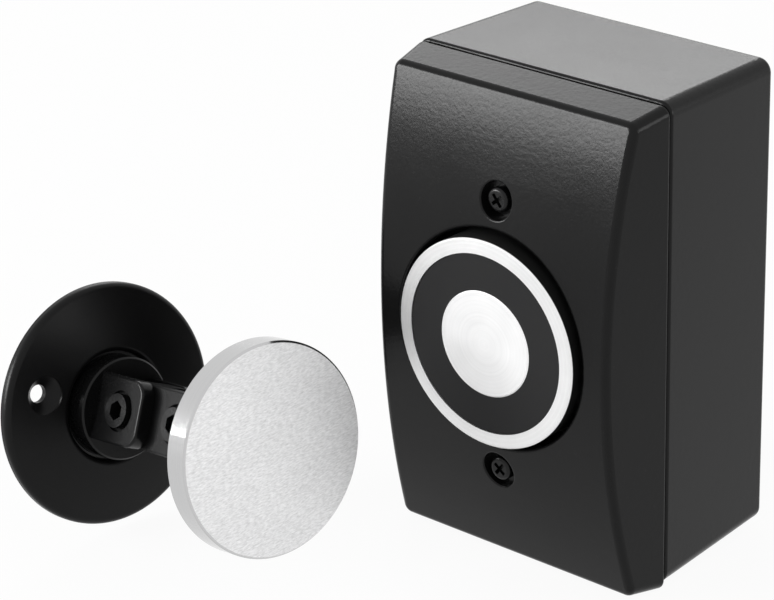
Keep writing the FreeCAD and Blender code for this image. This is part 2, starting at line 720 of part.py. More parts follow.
def make_terminal_block():
    """Two-way block on the rear wall: wires from above and below, clamp screws from the front."""
    body = new_body("terminal_block")
    half = size.lead_pitch / 2
    middle = size.block_drop + size.block_height / 2
    plan = sketch_on(body, "XZ_Plane", "plan", {"z": size.box_wall})
    rectangle(plan, size.block_width, size.block_height, 0, -middle)
    pad(body, "block", plan, size.block_depth)
    wires = sketch_on(body, "XY_Plane", "wires", {"z": -middle})
    sockets = sketch_on(body, "XZ_Plane", "sockets", {"z": block_front})
    for across in (half, -half):
        circle(wires, size.lead_diameter + size.hole_clearance * 2, across, -wire_depth)
        circle(sockets, size.terminal_screw_diameter + size.hole_clearance * 2, across, -middle)
    cut(body, "wire_holes", wires, symmetric=True)
    reach = size.terminal_screw_sink + size.terminal_screw_length
    cut(body, "screw_holes", sockets, reach)
    hang(body)

    top = block_front - size.terminal_screw_sink
    radius = size.terminal_screw_diameter / 2
    tip = top - size.terminal_screw_length
    screw = turned("terminal_screws", "XY_Plane", [(0, -tip), (radius, -tip), (radius, -top), (0, -top)],
                   shift={"x": half, "z": -middle})
    first = screw.Tip
    slot = sketch_on(screw, "XZ_Plane", "slot", {"x": half, "y": -middle, "z": top})
    rectangle(slot, size.terminal_screw_diameter * 2, size.driver_slot_width)
    drive = cut(screw, "drive", slot, size.driver_slot_depth)
    mirror(screw, "pair", [first, drive], "YZ_Plane")
    hang(screw)


# Door unit: derived heights above the door and distances from the axis

DOOR_PLACE = FreeCAD.Placement(
    FreeCAD.Vector(size.door_x.value, size.door_y.value, size.door_z.value),
    FreeCAD.Rotation(FreeCAD.Vector(0, 0, 1), size.door_turn.value)
    * FreeCAD.Rotation(FreeCAD.Vector(0, 1, 0), 90 - size.door_tilt.value)
    * FreeCAD.Rotation(FreeCAD.Vector(0, 0, 1), size.door_spin.value))

ring_top = size.ring_lift + size.ring_thickness
shoulder_back = ring_top + size.swivel_play
shoulder_front = shoulder_back + size.shoulder_thickness
recess_top = shoulder_front + size.washer_thickness + size.swivel_play
recess = size.shoulder_diameter / 2 + size.close_fit
ring_outer = size.shoulder_diameter / 2 + size.ring_bite
slot_half = size.arm_thickness / 2 + size.close_fit
lug_face = slot_half + size.lug_thickness
base_radius = diagonal(lug_face, size.lug_height / 2) + size.base_rim
lug_end = size.pivot_one_height + size.lug_reach
pivot_two_height = size.pivot_one_height + size.pivot_spacing
pivot_bore = size.pivot_diameter + size.close_fit * 2
counterbore = size.pivot_head_diameter + size.pivot_sink_gap * 2
plate_front = size.plate_back_height + size.plate_thickness
collar_back = size.plate_back_height - size.collar_thickness


def is_ring(edge, radius, level):
    """True for a circle of this radius at this height above the door."""
    return is_round(edge, radius) and near(edge.CenterOfMass.z, level.value)


def make_door_flange():
    """Domed flange with a swivel opening, a recess and ring groove behind it and two countersunk holes."""
    rim, opening = size.flange_diameter / 2, base_radius + size.swivel_gap
    groove = ring_outer + size.close_fit
    groove_top = ring_top + size.close_fit
    body = turned("door_flange", "XZ_Plane", [
        (recess, 0), (rim, 0), (rim, size.flange_rim_height, DOMED),
        (opening, size.flange_crown_height), (opening, recess_top), (recess, recess_top),
        (recess, groove_top), (groove, groove_top), (groove, size.ring_lift), (recess, size.ring_lift)])
    levels = ((rim, size.flange_rim_height, size.flange_rim_radius, "rim_round"),
              (opening, size.flange_crown_height, size.flange_lip_radius, "lip_round"))
    for radius, level, rounding, name in levels:
        round_edges(body, name, lambda edge, r=radius, z=level: is_ring(edge, r, z), rounding)
    hole, sink = size.flange_hole_diameter / 2, size.countersink_diameter / 2
    face = size.countersink_face
    below, above = -size.flange_rim_height, face + size.flange_rim_height
    section = sketch_on(body, "XZ_Plane", "hole_section", {"x": size.flange_hole_spacing / 2})
    outline(section, [(0, below), (hole, below), (hole, face - size.countersink_depth),
                      (sink, face), (sink, above), (0, above)])
    groove_cut = spin(body, "Groove", "countersink", section)
    mirror(body, "hole_pair", [groove_cut], "YZ_Plane")
    keep(body, DOOR_PLACE)


def rounded_bar(body, name, height, start, stop, thickness, ends):
    """Bar along Z, as thick on both sides of the YZ plane, with round ends at the given heights."""
    bar = sketch_on(body, "YZ_Plane", name)
    half = height / 2
    outline(bar, [(-half, start), (half, start), (half, stop), (-half, stop)])
    pad(body, f"{name}_bar", bar, thickness, symmetric=True)
    for k, level in enumerate(ends):
        eye = sketch_on(body, "YZ_Plane", f"{name}_eye{k}")
        circle(eye, height, 0, level)
        pad(body, f"{name}_end{k}", eye, thickness, symmetric=True)


def on_side(edge, distance):
    """True for an edge of the side face at this distance from the axis, past the base's face."""
    box = edge.BoundBox
    flat = near(box.XMin, box.XMax) and near(abs(box.XMin), distance.value)
    return flat and not near(box.ZMax, size.base_face_height.value)


def bore(body, name, level, diameter):
    """Hinge hole along X through the whole body."""
    sketch = sketch_on(body, "YZ_Plane", name)
    circle(sketch, diameter, 0, level)
    cut(body, f"{name}_cut", sketch, symmetric=True)


def sink_head(body, name, level, side):
    """Counterbore for a hinge screw's head in the near face."""
    sketch = sketch_on(body, "YZ_Plane", name, {"x": Size.of(0), "z": side})
    circle(sketch, counterbore, 0, level)
    cut(body, f"{name}_cut", sketch, size.pivot_head_sink)


def is_lug_corner(edge):
    """True for an edge along X at a corner of a lug's end."""
    box = edge.BoundBox
    return near(box.ZMin, lug_end.value) and near(box.ZMax, lug_end.value) and near(box.YMin, box.YMax)


def make_swivel_base():
    """Turned base with a shoulder behind the flange and two lugs with rounded corners."""
    shoulder, neck = size.shoulder_diameter / 2, base_radius
    face, edge = size.base_face_height, size.base_edge_chamfer
    body = turned("swivel_base", "XZ_Plane", [
        (0, shoulder_back), (shoulder, shoulder_back), (shoulder, shoulder_front), (neck, shoulder_front),
        (neck, face - edge), (neck - edge, face), (0, face)])
    half, root = size.lug_height / 2, face - size.lug_thickness
    lug = sketch_on(body, "YZ_Plane", "lug", {"z": slot_half})
    outline(lug, [(-half, root), (half, root), (half, lug_end), (-half, lug_end)])
    made = pad(body, "lug_pad", lug, size.lug_thickness)
    mirror(body, "lug_pair", [made], "YZ_Plane")
    round_edges(body, "lug_corners", is_lug_corner, size.lug_corner_radius)
    round_edges(body, "lug_round", lambda item: on_side(item, lug_face), size.lug_edge_radius)
    bore(body, "hinge_hole", size.pivot_one_height, pivot_bore)
    sink_head(body, "head_sink", size.pivot_one_height, lug_face)
    keep(body, DOOR_PLACE)


def make_swivel_holders():
    """Friction washer on the shoulder and the split ring in the flange's groove."""
    neck = base_radius + size.close_fit
    washer = size.shoulder_diameter / 2 - size.washer_inset
    top = shoulder_front + size.washer_thickness
    keep(turned("friction_washer", "XZ_Plane", [
        (neck, shoulder_front), (washer, shoulder_front), (washer, top), (neck, top)]), DOOR_PLACE)
    inner = size.shoulder_diameter / 2 - size.ring_hold
    keep(turned("retaining_ring", "XZ_Plane", [
        (inner, size.ring_lift), (ring_outer, size.ring_lift), (ring_outer, ring_top), (inner, ring_top)],
        angle=size.ring_sweep), DOOR_PLACE)


def make_swivel_arm():
    """Link with round ends: a solid tongue at the base and a fork at the plate."""
    body = new_body("swivel_arm")
    rounded_bar(body, "link", size.arm_height, size.pivot_one_height, pivot_two_height,
                size.arm_thickness, [size.pivot_one_height, pivot_two_height])
    side = size.arm_thickness / 2
    round_edges(body, "link_round", lambda item: on_side(item, side), size.lug_edge_radius)
    slot = sketch_on(body, "XZ_Plane", "fork")
    wide = size.tongue_thickness / 2 + size.close_fit
    floor = pivot_two_height - size.tongue_height / 2 - size.fork_room
    end = pivot_two_height + size.arm_height
    outline(slot, [(-wide, floor), (wide, floor), (wide, end), (-wide, end)])
    cut(body, "fork_cut", slot, symmetric=True)
    bore(body, "base_hole", size.pivot_one_height, pivot_bore)
    bore(body, "plate_hole", pivot_two_height, pivot_bore)
    sink_head(body, "head_sink", pivot_two_height, side)
    keep(body, DOOR_PLACE)


def make_pivot_screw(label, near_face, far_face, level):
    """Low socket screw along X that serves as a hinge pin."""
    seat = near_face - size.pivot_head_sink
    top = seat + size.pivot_head_height
    shank, head = size.pivot_diameter / 2, size.pivot_head_diameter / 2
    tip = -(far_face - size.pivot_end_gap)
    corners = [(tip, 0), (tip, shank), (seat, shank), (seat, head), (top, head), (top, 0)]
    body = turned(label, "XZ_Plane", corners, axis="H_Axis", shift={"y": level})
    socket = sketch_on(body, "YZ_Plane", "socket", {"y": level, "z": top})
    hexagon(socket, size.hex_flats)
    cut(body, "socket_cut", socket, size.hex_depth)
    keep(body, DOOR_PLACE)


def make_plate_knuckle():
    """Tongue with a round end, a collar that backs the plate, and a stud."""
    collar, stud, edge = size.collar_diameter / 2, size.stud_diameter / 2, size.collar_chamfer
    back, seat = collar_back, size.plate_back_height
    tip = seat + size.stud_length
    body = turned("plate_knuckle", "XZ_Plane", [
        (0, back), (collar - edge, back), (collar, back + edge), (collar, seat),
        (stud, seat), (stud, tip), (0, tip)])
    rounded_bar(body, "tongue", size.tongue_height, pivot_two_height, back + edge,
                size.tongue_thickness, [pivot_two_height])
    bore(body, "hinge_hole", pivot_two_height, pivot_bore)
    keep(body, DOOR_PLACE)


def make_catch_plate():
    """Steel disc with chamfered edges and a blind hole for the stud."""
    radius, rear, front = size.plate_diameter / 2, size.plate_rear_chamfer, size.plate_front_chamfer
    hole = size.stud_diameter / 2 + size.close_fit
    back = size.plate_back_height
    blind = back + size.stud_length + size.close_fit
    keep(turned("catch_plate", "XZ_Plane", [
        (hole, back), (radius - rear, back), (radius, back + rear), (radius, plate_front - front),
        (radius - front, plate_front), (0, plate_front), (0, blind), (hole, blind)]), DOOR_PLACE)


def check_document():
    """Stop if any object failed or any piece has no sound shape."""
    DOC.recompute()
    failed = [item.Name for item in DOC.Objects if {"Invalid", "Error"} & set(item.State)]
    if failed:
        raise RuntimeError(f"failed objects: {failed}")
    for piece in PIECES:
        if piece.Shape.isNull() or not piece.Shape.isValid() or not piece.Shape.Solids:
            raise RuntimeError(f"{piece.Label} has no sound shape")


def main():
    make_back_box()
    make_front_cover()
    make_screws()
    make_mounting_strap()
    make_magnet()
    make_core_screw()
    make_lead_bushing()
    make_coil_leads()
    make_terminal_block()
    make_door_flange()
    make_swivel_base()
    make_swivel_holders()
    make_swivel_arm()
    make_pivot_screw("base_pivot_screw", lug_face, lug_face, size.pivot_one_height)
    make_pivot_screw("plate_pivot_screw", size.arm_thickness / 2, size.arm_thickness / 2, pivot_two_height)
    make_plate_knuckle()
    make_catch_plate()
    check_document()
    os.makedirs("parts", exist_ok=True)
    for piece in PIECES:
        piece.Shape.exportStep(f"parts/{piece.Label}.step")
        print(f"{piece.Label}: {len(piece.Shape.Solids)} solid, {piece.Shape.Volume:.1f} mm3")


main()
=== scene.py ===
import json
import math

import bpy
from bpy.props import FloatProperty, FloatVectorProperty, IntProperty, PointerProperty
from mathutils import Matrix, Vector


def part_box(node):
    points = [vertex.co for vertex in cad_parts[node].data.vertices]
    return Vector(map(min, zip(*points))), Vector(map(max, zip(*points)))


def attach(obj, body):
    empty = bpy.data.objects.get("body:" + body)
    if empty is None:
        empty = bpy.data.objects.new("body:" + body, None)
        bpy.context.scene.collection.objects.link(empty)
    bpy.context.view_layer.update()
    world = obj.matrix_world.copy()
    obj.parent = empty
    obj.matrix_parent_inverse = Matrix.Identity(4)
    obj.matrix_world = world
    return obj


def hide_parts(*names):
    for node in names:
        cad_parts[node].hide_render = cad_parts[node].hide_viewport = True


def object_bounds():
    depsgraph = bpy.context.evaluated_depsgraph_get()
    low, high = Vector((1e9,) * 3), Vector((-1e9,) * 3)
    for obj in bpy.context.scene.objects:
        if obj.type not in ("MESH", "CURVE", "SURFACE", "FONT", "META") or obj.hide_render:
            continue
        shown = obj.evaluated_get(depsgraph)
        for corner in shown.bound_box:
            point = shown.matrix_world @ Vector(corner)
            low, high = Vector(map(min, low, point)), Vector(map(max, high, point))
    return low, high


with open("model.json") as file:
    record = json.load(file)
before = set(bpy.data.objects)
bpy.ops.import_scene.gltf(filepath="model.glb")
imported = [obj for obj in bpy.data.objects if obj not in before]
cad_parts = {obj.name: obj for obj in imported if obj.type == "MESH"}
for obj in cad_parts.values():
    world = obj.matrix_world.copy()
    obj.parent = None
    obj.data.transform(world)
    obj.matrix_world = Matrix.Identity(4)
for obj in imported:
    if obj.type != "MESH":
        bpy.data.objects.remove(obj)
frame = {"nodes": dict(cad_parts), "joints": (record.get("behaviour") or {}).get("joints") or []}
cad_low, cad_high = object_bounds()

bl_info = {
    "name": "Electromagnetic door holder",
    "version": (1, 0, 0),
    "blender": (4, 5, 0),
    "location": "3D View > Sidebar > Door holder",
    "description": "Finishes and studio for a wall magnet and its hinged door plate",
    "category": "Object",
}

WALL_BODY = "wall_and_flange"
MM = 0.001
SENSOR_WIDTH = 36.0  # millimetres, which is how a camera counts them

# Colour sockets of a Mix node, whose names stand for other kinds of value too
MIX_FIRST, MIX_SECOND, MIX_RESULT = 6, 7, 2


def joint(name):
    return next(item for item in frame["joints"] if item["name"] == name)


def middle(node):
    low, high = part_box(node)
    return (low + high) / 2


# The door unit's own frame: its Z axis is the swivel's, and its X axis is the hinges'
door_origin = Vector(joint("base_swivel")["pos_m"])
door_out = Vector(joint("base_swivel")["axis"]).normalized()
door_across = Vector(joint("arm_hinge")["axis"]).normalized()
door_turn = Matrix((door_across, door_out.cross(door_across), door_out)).transposed().to_euler()

set_middle = tuple((cad_low + cad_high) / 2)


# Node trees


class Wire:
    """A socket inside a node tree, with the arithmetic that the trees need."""

    def __init__(self, nodes, socket):
        self.nodes = nodes
        self.socket = socket

    def __add__(self, other):
        return self.nodes.maths("ADD", self, other)

    __radd__ = __add__

    def __sub__(self, other):
        return self.nodes.maths("SUBTRACT", self, other)

    def __rsub__(self, other):
        return self.nodes.maths("SUBTRACT", other, self)

    def __mul__(self, other):
        return self.nodes.maths("MULTIPLY", self, other)

    __rmul__ = __mul__

    def __pow__(self, other):
        return self.nodes.maths("POWER", self, other)


class Nodes:
    """A node tree while it is being put together."""

    def __init__(self, tree):
        self.tree = tree
        tree.nodes.clear()

    def node(self, kind, settings=None, inputs=None, output=0):
        """Add a node, set it up, fill its sockets and give back one of its outputs."""
        made = self.tree.nodes.new(kind)
        for key, value in (settings or {}).items():
            setattr(made, key, value)
        for key, value in (inputs or {}).items():
            if isinstance(value, Wire):
                self.tree.links.new(value.socket, made.inputs[key])
            else:
                made.inputs[key].default_value = value
        return Wire(self, made.outputs[output]) if made.outputs else None

    def maths(self, operation, first, second):
        return self.node("ShaderNodeMath", {"operation": operation}, {0: first, 1: second})


class Finish(Nodes):
    """A material, or the room's light, while it is being put together."""

    def __init__(self, block):
        block.use_nodes = True
        super().__init__(block.node_tree)
        self.block = block

    def place(self):
        """Position on the piece, in metres from the part's origin."""
        return self.node("ShaderNodeTexCoord", output="Object")

    def place_from(self, origin, turn=(0.0, 0.0, 0.0)):
        """Position in a frame with its own origin and turn, in metres."""
        return self.node("ShaderNodeMapping", {"vector_type": "TEXTURE"},
                         {"Vector": self.place(), "Location": origin, "Rotation": turn})

    def axis(self, vector, name):
        return self.node("ShaderNodeSeparateXYZ", None, {0: vector}, output=name)

    def noise(self, vector, grain, detail=2.0, roughness=0.5):
        """Soft random field whose features are about one grain wide."""
        return self.node("ShaderNodeTexNoise", None, {
            "Vector": vector, "Scale": 1.0 / grain, "Detail": detail, "Roughness": roughness},
            output="Fac")

    def bands(self, distance, pitch):
        """Random bands along a distance, as a turning tool leaves them."""
        return self.node("ShaderNodeTexNoise", {"noise_dimensions": "1D"}, {
            "W": distance, "Scale": 1.0 / pitch, "Detail": 3.0, "Roughness": 0.6},
            output="Fac")

    def ramp(self, value, low, high):
        """0 below low, 1 above high and smooth between."""
        return self.node("ShaderNodeMapRange", {"interpolation_type": "SMOOTHSTEP"},
                         {"Value": value, "From Min": low, "From Max": high})

    def mix(self, factor, first, second):
        return self.node("ShaderNodeMix", {"data_type": "RGBA"},
                         {0: factor, MIX_FIRST: first, MIX_SECOND: second}, output=MIX_RESULT)

    def shade(self, colour, factor):
        """A colour made lighter or darker by a factor that changes over the surface."""
        return self.node("ShaderNodeVectorMath", {"operation": "SCALE"},
                         {0: colour[:3], "Scale": factor})

    def bump(self, height, depth):
        return self.node("ShaderNodeBump", None, {"Height": height, "Distance": depth},
                         output="Normal")

    def surface(self, inputs):
        """Finish with one principled shader and give back the material."""
        shader = self.node("ShaderNodeBsdfPrincipled", None, inputs)
        self.node("ShaderNodeOutputMaterial", None, {"Surface": shader})
        return self.block


def new_finish(name):
    return Finish(bpy.data.materials.new(name))


def about(value, *fields):
    """A value that random fields move up and down, each by its own span."""
    for span, field in fields:
        value = value + span * (field - 0.5)
    return value


# Finishes

# Powder coat, against the width of its orange peel
FINE_PEEL = 0.45  # width of the finer grain
CLOUD_PEEL = 14  # width of the soft clouds
PEEL_SHARE = 0.65  # part of the bump that is peel, the rest being finer grain

# Pale specks in the powder coat
SPECK_SIZE = 0.45 * MM
SPECK_FROM, SPECK_FULL = 0.83, 0.9  # levels of the noise at which a speck starts and is full
SPECK_LIGHT = 2.5

# Lathe rings
FINE_RING = 0.3  # pitch of the finer rings, against the coarse ones
COARSE_SHARE = 0.7  # part of the bump that is coarse rings

# Depths behind the cup's front edge where the steel stops and where the paint is full
CUP_STEEL_END, CUP_PAINT_FULL = 0.3 * MM, 0.5 * MM

# Depths below the plate's face where the rim's polish stops and where the grinding is full
RIM_END, GRINDING_FULL = 0.08 * MM, 0.03 * MM
RIM_LINE_PITCH = 0.25 * MM
RIM_LINE_DEPTH = 0.15  # against the streaks on the face


def powder_coat(name, colour, rough, gloss, peel_size, peel_depth):
    """Satin black powder coat: soft orange peel, finer grain on it and a few pale specks."""
    finish = new_finish(name)
    place = finish.place()
    peel = finish.noise(place, peel_size, detail=1.5)
    fine = finish.noise(place, peel_size * FINE_PEEL, detail=1.0)
    cloud = finish.noise(place, peel_size * CLOUD_PEEL)
    speck = finish.ramp(finish.noise(place, SPECK_SIZE, detail=0.0), SPECK_FROM, SPECK_FULL)
    height = PEEL_SHARE * peel + (1 - PEEL_SHARE) * fine
    return finish.surface({
        "Base Color": finish.shade(colour, about(1.0, (0.28, cloud)) + SPECK_LIGHT * speck),
        "Roughness": about(rough, (0.1, fine), (0.06, cloud)),
        "Specular IOR Level": gloss,
        "Normal": finish.bump(height, peel_depth),
    })


def lathe_rings(finish, node, steel):
    """Coarse and fine rings round a node's middle, and the bump of both."""
    place = finish.place_from(middle(node))
    radius = (finish.axis(place, "X") ** 2.0 + finish.axis(place, "Z") ** 2.0) ** 0.5
    coarse = finish.bands(radius, steel.ring_pitch)
    fine = finish.bands(radius, steel.ring_pitch * FINE_RING)
    height = COARSE_SHARE * coarse + (1 - COARSE_SHARE) * fine
    return coarse, fine, finish.bump(height, steel.ring_depth)


def pole_steel(steel):
    """Bright turned steel with fine lathe rings round the magnet's axis."""
    finish = new_finish("pole_steel")
    coarse, fine, rings = lathe_rings(finish, "pole_core", steel)
    smear = finish.noise(finish.place(), 5 * MM, detail=3.0)
    return finish.surface({
        "Base Color": finish.shade(steel.pole_colour, about(0.99, (0.14, coarse), (0.05, smear))),
        "Metallic": 1.0,
        "Roughness": about(steel.pole_rough, (0.12, fine), (0.06, smear)),
        "Normal": rings,
    })


def cup_steel(steel):
    """The cup: turned bright on its front edge, painted black round the outside."""
    finish = new_finish("cup_steel")
    coarse, fine, rings = lathe_rings(finish, "magnet_cup", steel)
    place = finish.place()
    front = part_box("magnet_cup")[0].y
    bright = 1.0 - finish.ramp(finish.axis(place, "Y"),
                               front + CUP_STEEL_END, front + CUP_PAINT_FULL)
    smear = finish.noise(place, 4 * MM, detail=3.0)
    turned = finish.shade(steel.pole_colour, about(0.92, (0.12, coarse), (0.1, smear)))
    painted = finish.shade(steel.cup_paint, about(1.0, (0.2, smear)))
    return finish.surface({
        "Base Color": finish.mix(bright, painted, turned),
        "Metallic": bright,
        "Roughness": about(steel.cup_rough, (0.1, fine)) - 0.03 * bright,
        "Normal": rings,
    })


def plate_steel(steel):
    """The catch plate: short ground streaks on its face and fine turning lines on its rim."""
    finish = new_finish("plate_steel")
    place = finish.place_from(door_origin, door_turn)
    up = finish.axis(place, "Z")
    top = max((vertex.co - door_origin).dot(door_out)
              for vertex in frame["nodes"]["catch_plate"].data.vertices)
    face = finish.ramp(up, top - RIM_END, top - GRINDING_FULL)
    rim = 1.0 - face
    along = finish.node("ShaderNodeMapping", {"vector_type": "TEXTURE"}, {
        "Vector": place, "Rotation": (0.0, 0.0, steel.streak_angle),
        "Scale": (steel.streak_length, steel.streak_width, steel.streak_length)})
    streak = finish.noise(along, 1.0, detail=3.0, roughness=0.65)
    patch = finish.noise(place, 1.6 * MM)
    cloud = finish.noise(place, 11 * MM)
    lines = finish.bands(up, RIM_LINE_PITCH)
    ground = about(0.81, (0.7, streak), (0.12, patch), (0.08, cloud))
    polished = about(0.64, (0.08, lines))
    return finish.surface({
        "Base Color": finish.shade(steel.plate_colour, ground * face + polished * rim),
        "Metallic": 1.0,
        "Roughness": (about(steel.plate_rough, (0.2, streak)) * face
                      + about(steel.rim_rough, (0.06, lines)) * rim),
        "Normal": finish.bump(streak * face + lines * RIM_LINE_DEPTH * rim, steel.streak_depth),
    })


def resin(steel):
    """Smooth cast resin with a faint mottle."""
    finish = new_finish("potting_resin")
    place = finish.place()
    mottle = finish.noise(place, 3 * MM, detail=3.0)
    grain = finish.noise(place, 0.25 * MM, detail=1.0)
    return finish.surface({
        "Base Color": finish.shade(steel.resin_colour, about(1.0, (0.2, mottle))),
        "Roughness": about(steel.resin_rough, (0.1, grain), (0.08, mottle)),
        "Specular IOR Level": steel.resin_gloss,
        "Normal": finish.bump(grain, 0.004 * MM),
    })


def small_steel(name, colour, metal, rough, gloss):
    """Plated or blackened small steel parts, with a faint mottle and rubbed spots."""
    finish = new_finish(name)
    place = finish.place()
    mottle = finish.noise(place, 2.2 * MM, detail=4.0, roughness=0.6)
    grain = finish.noise(place, 0.3 * MM)
    return finish.surface({
        "Base Color": finish.shade(colour, about(1.0, (0.3, mottle))),
        "Metallic": metal,
        "Specular IOR Level": gloss,
        "Roughness": about(rough, (0.14, mottle), (0.06, grain)),
        "Normal": finish.bump(grain, 0.006 * MM),
    })


def moulded(name, colour, rough):
    """Moulded plastic with a fine spark-eroded grain."""
    finish = new_finish(name)
    place = finish.place()
    grain = finish.noise(place, 0.35 * MM)
    cloud = finish.noise(place, 6 * MM)
    return finish.surface({
        "Base Color": finish.shade(colour, about(1.0, (0.2, cloud))),
        "Roughness": about(rough, (0.12, grain)),
        "Normal": finish.bump(grain, 0.01 * MM),
    })


def enamelled_wire(coil):
    """Copper wire under clear enamel."""
    finish = new_finish("enamelled_copper")
    cloud = finish.noise(finish.place(), 1.4 * MM)
    return finish.surface({
        "Base Color": finish.shade(coil.copper_colour, about(1.0, (0.3, cloud))),
        "Metallic": 1.0,
        "Roughness": about(coil.copper_rough, (0.14, cloud)),
        "Coat Weight": coil.enamel,
    })


def dress(material, *nodes):
    """Give CAD nodes their finish."""
    for name in nodes:
        slots = frame["nodes"][name].data.materials
        slots.clear()
        slots.append(material)


# Settings


class CoatSettings(bpy.types.PropertyGroup):
    cover_colour: FloatVectorProperty(
        name="Cover colour", description="Powder coat of box and cover",
        subtype="COLOR", size=3, min=0, max=1, default=(0.005, 0.005, 0.0051))
    cover_rough: FloatProperty(
        name="Cover roughness", description="Roughness of box and cover",
        subtype="FACTOR", min=0, max=1, default=0.215)
    cover_gloss: FloatProperty(
        name="Cover gloss", description="Strength of reflections on box and cover",
        subtype="FACTOR", min=0, max=1, default=0.17)
    peel_size: FloatProperty(
        name="Orange peel", description="Width of the coat's soft waves on cover and flange",
        unit="LENGTH", default=1.15 * MM)
    peel_depth: FloatProperty(
        name="Peel depth", description="Depth of the coat's soft waves on box and cover",
        unit="LENGTH", default=0.032 * MM)
    black_colour: FloatVectorProperty(
        name="Door unit colour", description="Black of the door unit and of the dark screws",
        subtype="COLOR", size=3, min=0, max=1, default=(0.0045, 0.0045, 0.0047))
    flange_rough: FloatProperty(
        name="Flange roughness", description="Roughness of the flange",
        subtype="FACTOR", min=0, max=1, default=0.315)
    flange_gloss: FloatProperty(
        name="Flange gloss", description="Strength of reflections on the flange",
        subtype="FACTOR", min=0, max=1, default=0.16)
    flange_peel_depth: FloatProperty(
        name="Flange peel depth", description="Depth of the coat's soft waves on the flange",
        unit="LENGTH", default=0.0192 * MM)
    knuckle_rough: FloatProperty(
        name="Knuckle roughness", description="Roughness of base, arm and knuckle",
        subtype="FACTOR", min=0, max=1, default=0.25)
    knuckle_gloss: FloatProperty(
        name="Knuckle gloss", description="Strength of reflections on base, arm and knuckle",
        subtype="FACTOR", min=0, max=1, default=0.18)
    knuckle_peel_size: FloatProperty(
        name="Knuckle peel", description="Width of the coat's soft waves on base, arm and knuckle",
        unit="LENGTH", default=0.92 * MM)
    knuckle_peel_depth: FloatProperty(
        name="Knuckle peel depth",
        description="Depth of the coat's soft waves on base, arm and knuckle",
        unit="LENGTH", default=0.0128 * MM)
    screw_rough: FloatProperty(
        name="Screw roughness", description="Roughness of the dark screws",
        subtype="FACTOR", min=0, max=1, default=0.26)
    screw_gloss: FloatProperty(
        name="Screw gloss", description="Strength of reflections on the dark screws",
        subtype="FACTOR", min=0, max=1, default=0.24)


class SteelSettings(bpy.types.PropertyGroup):
    pole_colour: FloatVectorProperty(
        name="Pole colour", description="Bright steel of the magnet's faces",
        subtype="COLOR", size=3, min=0, max=1, default=(0.96, 0.96, 0.96))
    pole_rough: FloatProperty(
        name="Core roughness", description="Roughness of the core's face",
        subtype="FACTOR", min=0, max=1, default=0.45)
    cup_rough: FloatProperty(
        name="Cup roughness", description="Roughness of the cup",
        subtype="FACTOR", min=0, max=1, default=0.41)
    cup_paint: FloatVectorProperty(
        name="Cup paint", description="Paint round the outside of the cup",
        subtype="COLOR", size=3, min=0, max=1, default=(0.008, 0.008, 0.008))
    ring_pitch: FloatProperty(
        name="Ring pitch", description="Spacing of the lathe rings",
        unit="LENGTH", default=0.9 * MM)
    ring_depth: FloatProperty(
        name="Ring depth", description="Depth of the lathe rings",
        unit="LENGTH", default=0.03 * MM)
    resin_colour: FloatVectorProperty(
        name="Resin colour", description="Resin between core and cup",
        subtype="COLOR", size=3, min=0, max=1, default=(0.011, 0.011, 0.0115))
    resin_rough: FloatProperty(
        name="Resin roughness", description="Roughness of the resin",
        subtype="FACTOR", min=0, max=1, default=0.5)
    resin_gloss: FloatProperty(
        name="Resin gloss", description="Strength of reflections on the resin",
        subtype="FACTOR", min=0, max=1, default=0.22)
    plate_colour: FloatVectorProperty(
        name="Plate colour", description="Steel of the catch plate",
        subtype="COLOR", size=3, min=0, max=1, default=(0.86, 0.86, 0.865))
    plate_rough: FloatProperty(
        name="Plate roughness", description="Roughness of the plate's ground face",
        subtype="FACTOR", min=0, max=1, default=0.42)
    rim_rough: FloatProperty(
        name="Rim roughness", description="Roughness of the plate's polished rim",
        subtype="FACTOR", min=0, max=1, default=0.13)
    streak_length: FloatProperty(
        name="Streak length", description="Length of the plate's ground streaks",
        unit="LENGTH", default=1.1 * MM)
    streak_width: FloatProperty(
        name="Streak width", description="Width of the plate's ground streaks",
        unit="LENGTH", default=0.3 * MM)
    streak_depth: FloatProperty(
        name="Streak depth", description="Depth of the plate's ground streaks",
        unit="LENGTH", default=0.03 * MM)
    streak_angle: FloatProperty(
        name="Streak angle", description="Direction of the streaks on the plate",
        subtype="ANGLE", default=math.radians(28))


class CoilSettings(bpy.types.PropertyGroup):
    wire: FloatProperty(
        name="Wire", description="Diameter of the coil's wire", unit="LENGTH", default=0.8 * MM)
    core: FloatProperty(
        name="Core", description="Inner radius of the coil", unit="LENGTH", default=13.55 * MM)
    layers: IntProperty(
        name="Layers", description="Layers of wire on the bobbin", min=1, default=8)
    sides: IntProperty(
        name="Sides", description="Sides of the wire's section", min=3, default=6)
    points: IntProperty(
        name="Points", description="Points along each turn of the wire", min=3, default=40)
    copper_colour: FloatVectorProperty(
        name="Copper colour", description="Wire of the coil",
        subtype="COLOR", size=3, min=0, max=1, default=(0.75, 0.32, 0.14))
    copper_rough: FloatProperty(
        name="Copper roughness", description="Roughness of the wire under its enamel",
        subtype="FACTOR", min=0, max=1, default=0.3)
    enamel: FloatProperty(
        name="Enamel", description="Strength of the clear enamel on the wire",
        subtype="FACTOR", min=0, max=1, default=0.6)


